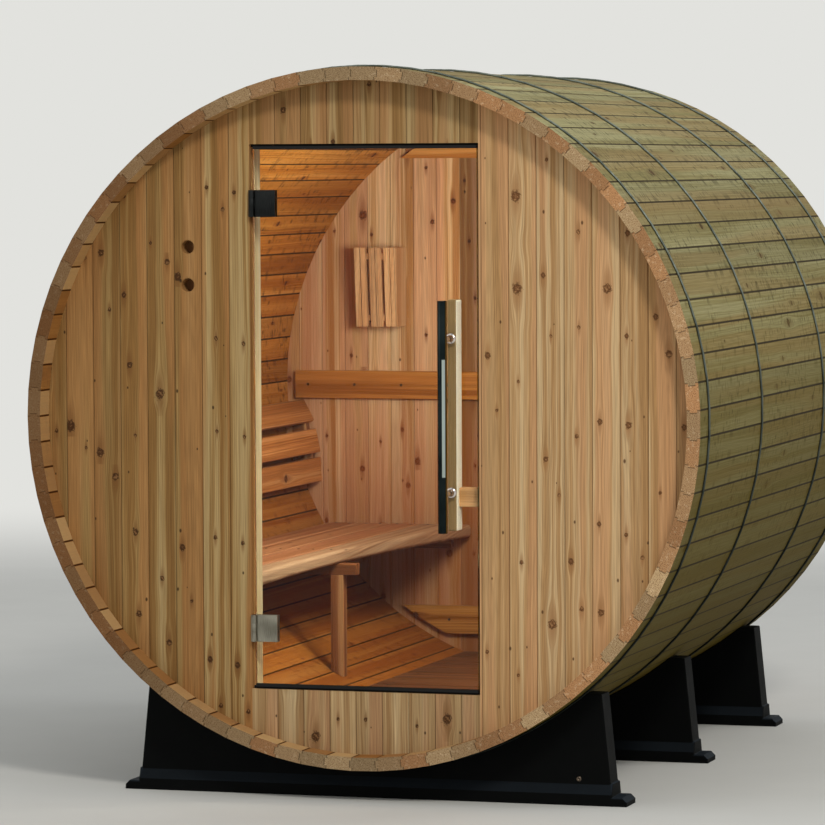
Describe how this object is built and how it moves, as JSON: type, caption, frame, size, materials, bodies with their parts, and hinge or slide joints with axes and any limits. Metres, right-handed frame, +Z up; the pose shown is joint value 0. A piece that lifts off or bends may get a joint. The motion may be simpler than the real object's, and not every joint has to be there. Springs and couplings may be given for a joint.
{
  "type": "barrel sauna",
  "caption": "Outdoor barrel sauna of upright-board end walls and long staves bound by cable hoops, on black cradles, with a hinged glass door, a bench and a backrest inside.",
  "frame": {"origin": "middle of the middle cradle's underside, at ground level under the barrel's middle", "axes": "+Y along the barrel from the door end to the back wall, +X to the right as seen from the door, +Z up"},
  "size_m": [1.8409, 2.1585, 1.9201],
  "materials": {
    "stave_wood": "weathered, dull",
    "wall_wood": "planed, satin oil",
    "frame_wood": "planed, unfinished",
    "inside_wood": "planed, unfinished",
    "handle_wood": "planed, unfinished",
    "cable_steel": "dull, dark",
    "cradle_plastic": "matte black",
    "hinge_steel": "satin",
    "door_glass": "clear, polished",
    "seal_rubber": "matte black",
    "handle_steel": "polished"
  },
  "bodies": {
    "barrel": {"staves_top": "stave_wood", "staves_upper_right": "stave_wood", "staves_right": "stave_wood", "staves_lower_right": "stave_wood", "staves_bottom_right": "stave_wood", "staves_bottom_left": "stave_wood", "staves_lower_left": "stave_wood", "staves_left": "stave_wood", "staves_upper_left": "stave_wood", "front_wall_left": "wall_wood", "front_wall_right": "wall_wood", "front_wall_over_door": "wall_wood", "front_wall_under_door": "wall_wood", "back_wall": "wall_wood", "door_jamb_left": "frame_wood", "door_jamb_right": "frame_wood", "door_head": "frame_wood", "door_sill": "frame_wood", "cable_front": "cable_steel", "cable_second": "cable_steel", "cable_third": "cable_steel", "cable_back": "cable_steel", "cradle_front": "cradle_plastic", "cradle_middle": "cradle_plastic", "cradle_back": "cradle_plastic", "floor_boards": "inside_wood", "bench_front_board": "inside_wood", "bench_boards": "inside_wood", "bench_bearers": "inside_wood", "bench_leg": "inside_wood", "backrest_slats": "inside_wood", "backrest_brackets": "inside_wood", "back_wall_battens": "inside_wood", "lamp_shade": "inside_wood", "upper_hinge_leaf": "hinge_steel", "lower_hinge_leaf": "hinge_steel"},
    "door": {"door_glass": "door_glass", "door_top_seal": "seal_rubber", "door_bottom_seal": "seal_rubber", "upper_hinge_plate": "hinge_steel", "lower_hinge_plate": "hinge_steel", "outer_handle": "handle_steel", "inner_handle": "handle_wood", "inner_handle_arm": "handle_wood"}
  },
  "joints": [
    {"name": "door_hinge", "type": "hinge", "parent": "barrel", "child": "door", "pos_m": [-0.303, -1.01, 1], "axis": [0, 0, -1], "range_deg": [0, 100]}
  ]
}
